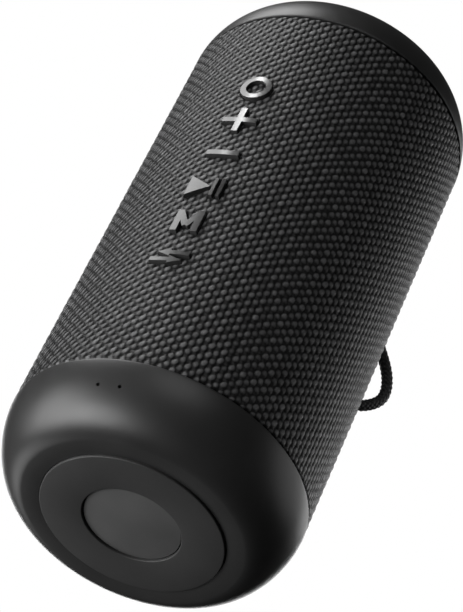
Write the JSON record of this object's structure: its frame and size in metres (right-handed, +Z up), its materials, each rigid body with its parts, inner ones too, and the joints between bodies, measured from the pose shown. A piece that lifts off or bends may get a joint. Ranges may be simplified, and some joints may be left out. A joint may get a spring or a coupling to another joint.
{
  "type": "portable bluetooth speaker",
  "caption": "Upright cylindrical portable speaker: woven sleeve, rounded end caps, raised symbol buttons, cord loop and a covered port recess.",
  "frame": {"origin": "centre of the foot ring's lower face, on the surface the speaker stands on", "axes": "+Z up along the cylinder's axis, -Y towards the buttons, +X to the right of a person looking at the buttons"},
  "size_m": [0.085, 0.0873, 0.1785],
  "materials": {
    "sleeve_fabric": "coarse woven polyester, matt",
    "grille_plastic": "moulded, matt",
    "cap_plastic": "satin with a fine moulded texture",
    "foot_rubber": "matt",
    "disc_plastic": "satin",
    "key_plastic": "satin, half gloss",
    "white_plastic": "matt",
    "component": "moulded",
    "board": "solder mask",
    "steel": "plain",
    "ribbon": "flexible film",
    "cord_braid": "braided cord",
    "eyelet_metal": "satin anodised",
    "core_plastic": "moulded, matt",
    "port_plastic": "satin",
    "cover_rubber": "matt",
    "seal_rubber": "matt",
    "ferrite": "sintered",
    "spider_cloth": "resin-dipped cloth",
    "cone_paper": "pressed pulp",
    "cell_wrap": "shrink film"
  },
  "bodies": {
    "speaker": {"fabric_sleeve": "sleeve_fabric", "grille_tube": "grille_plastic", "bottom_cap": "cap_plastic", "top_cap": "cap_plastic", "foot_ring": "foot_rubber", "base_disc": "disc_plastic", "top_ring": "foot_rubber", "top_disc": "disc_plastic", "switch_housings": "component", "button_board": "board", "board_screws": "steel", "button_ribbon": "ribbon", "strap_loop": "cord_braid", "strap_eyelets": "eyelet_metal", "strap_anchor": "core_plastic", "port_bezel": "port_plastic", "port_hinge_pin": "steel", "usb_c_socket": "steel", "aux_jack": "component", "main_board": "board", "main_board_chips": "component", "led_board": "board", "core_tube": "core_plastic", "core_bottom_cover": "core_plastic", "core_top_cover": "core_plastic", "core_gaskets": "seal_rubber", "base_screws": "steel", "top_screws": "steel", "driver_baskets": "core_plastic", "driver_pole_plates": "steel", "driver_magnets": "ferrite", "driver_yokes": "steel", "driver_spiders": "spider_cloth", "driver_surrounds": "seal_rubber", "driver_gaskets": "seal_rubber", "driver_screws": "steel", "passive_frames": "core_plastic", "passive_surrounds": "seal_rubber", "battery_cells": "cell_wrap", "battery_holder": "core_plastic"},
    "power_button": {"power_key": "key_plastic", "power_plunger": "white_plastic", "power_key_patch": "sleeve_fabric"},
    "plus_button": {"plus_key": "key_plastic", "plus_plunger": "white_plastic"},
    "minus_button": {"minus_key": "key_plastic", "minus_plunger": "white_plastic"},
    "play_button": {"play_key": "key_plastic", "play_plunger": "white_plastic"},
    "mode_button": {"mode_key": "key_plastic", "mode_plunger": "white_plastic"},
    "link_button": {"link_key": "key_plastic", "link_plunger": "white_plastic"},
    "port_flap": {"port_cover": "cover_rubber"},
    "right_cone": {"right_driver_cone": "cone_paper"},
    "right_passive": {"right_passive_plate": "steel"},
    "left_cone": {"left_driver_cone": "cone_paper"},
    "left_passive": {"left_passive_plate": "steel"}
  },
  "joints": [
    {"name": "power_press", "type": "slide", "parent": "speaker", "child": "power_button", "axis": [0, 1, 0], "range_m": [0, 0.0005], "stiffness_N_per_m": 800},
    {"name": "plus_press", "type": "slide", "parent": "speaker", "child": "plus_button", "axis": [0, 1, 0], "range_m": [0, 0.0005], "stiffness_N_per_m": 800},
    {"name": "minus_press", "type": "slide", "parent": "speaker", "child": "minus_button", "axis": [0, 1, 0], "range_m": [0, 0.0005], "stiffness_N_per_m": 800},
    {"name": "play_press", "type": "slide", "parent": "speaker", "child": "play_button", "axis": [0, 1, 0], "range_m": [0, 0.0005], "stiffness_N_per_m": 800},
    {"name": "mode_press", "type": "slide", "parent": "speaker", "child": "mode_button", "axis": [0, 1, 0], "range_m": [0, 0.0005], "stiffness_N_per_m": 800},
    {"name": "link_press", "type": "slide", "parent": "speaker", "child": "link_button", "axis": [0, 1, 0], "range_m": [0, 0.0005], "stiffness_N_per_m": 800},
    {"name": "port_cover_hinge", "type": "hinge", "parent": "speaker", "child": "port_flap", "pos_m": [0, 0.043, 0.033], "axis": [-1, 0, 0], "range_deg": [0, 110]},
    {"name": "right_cone_stroke", "type": "slide", "parent": "speaker", "child": "right_cone", "axis": [1, 0, 0], "range_m": [-0.0015, 0.0015], "stiffness_N_per_m": 1500},
    {"name": "right_passive_stroke", "type": "slide", "parent": "speaker", "child": "right_passive", "axis": [1, 0, 0], "range_m": [-0.0025, 0.0025], "stiffness_N_per_m": 1200},
    {"name": "left_cone_stroke", "type": "slide", "parent": "speaker", "child": "left_cone", "axis": [-1, 0, 0], "range_m": [-0.0015, 0.0015], "stiffness_N_per_m": 1500},
    {"name": "left_passive_stroke", "type": "slide", "parent": "speaker", "child": "left_passive", "axis": [-1, 0, 0], "range_m": [-0.0025, 0.0025], "stiffness_N_per_m": 1200}
  ]
}
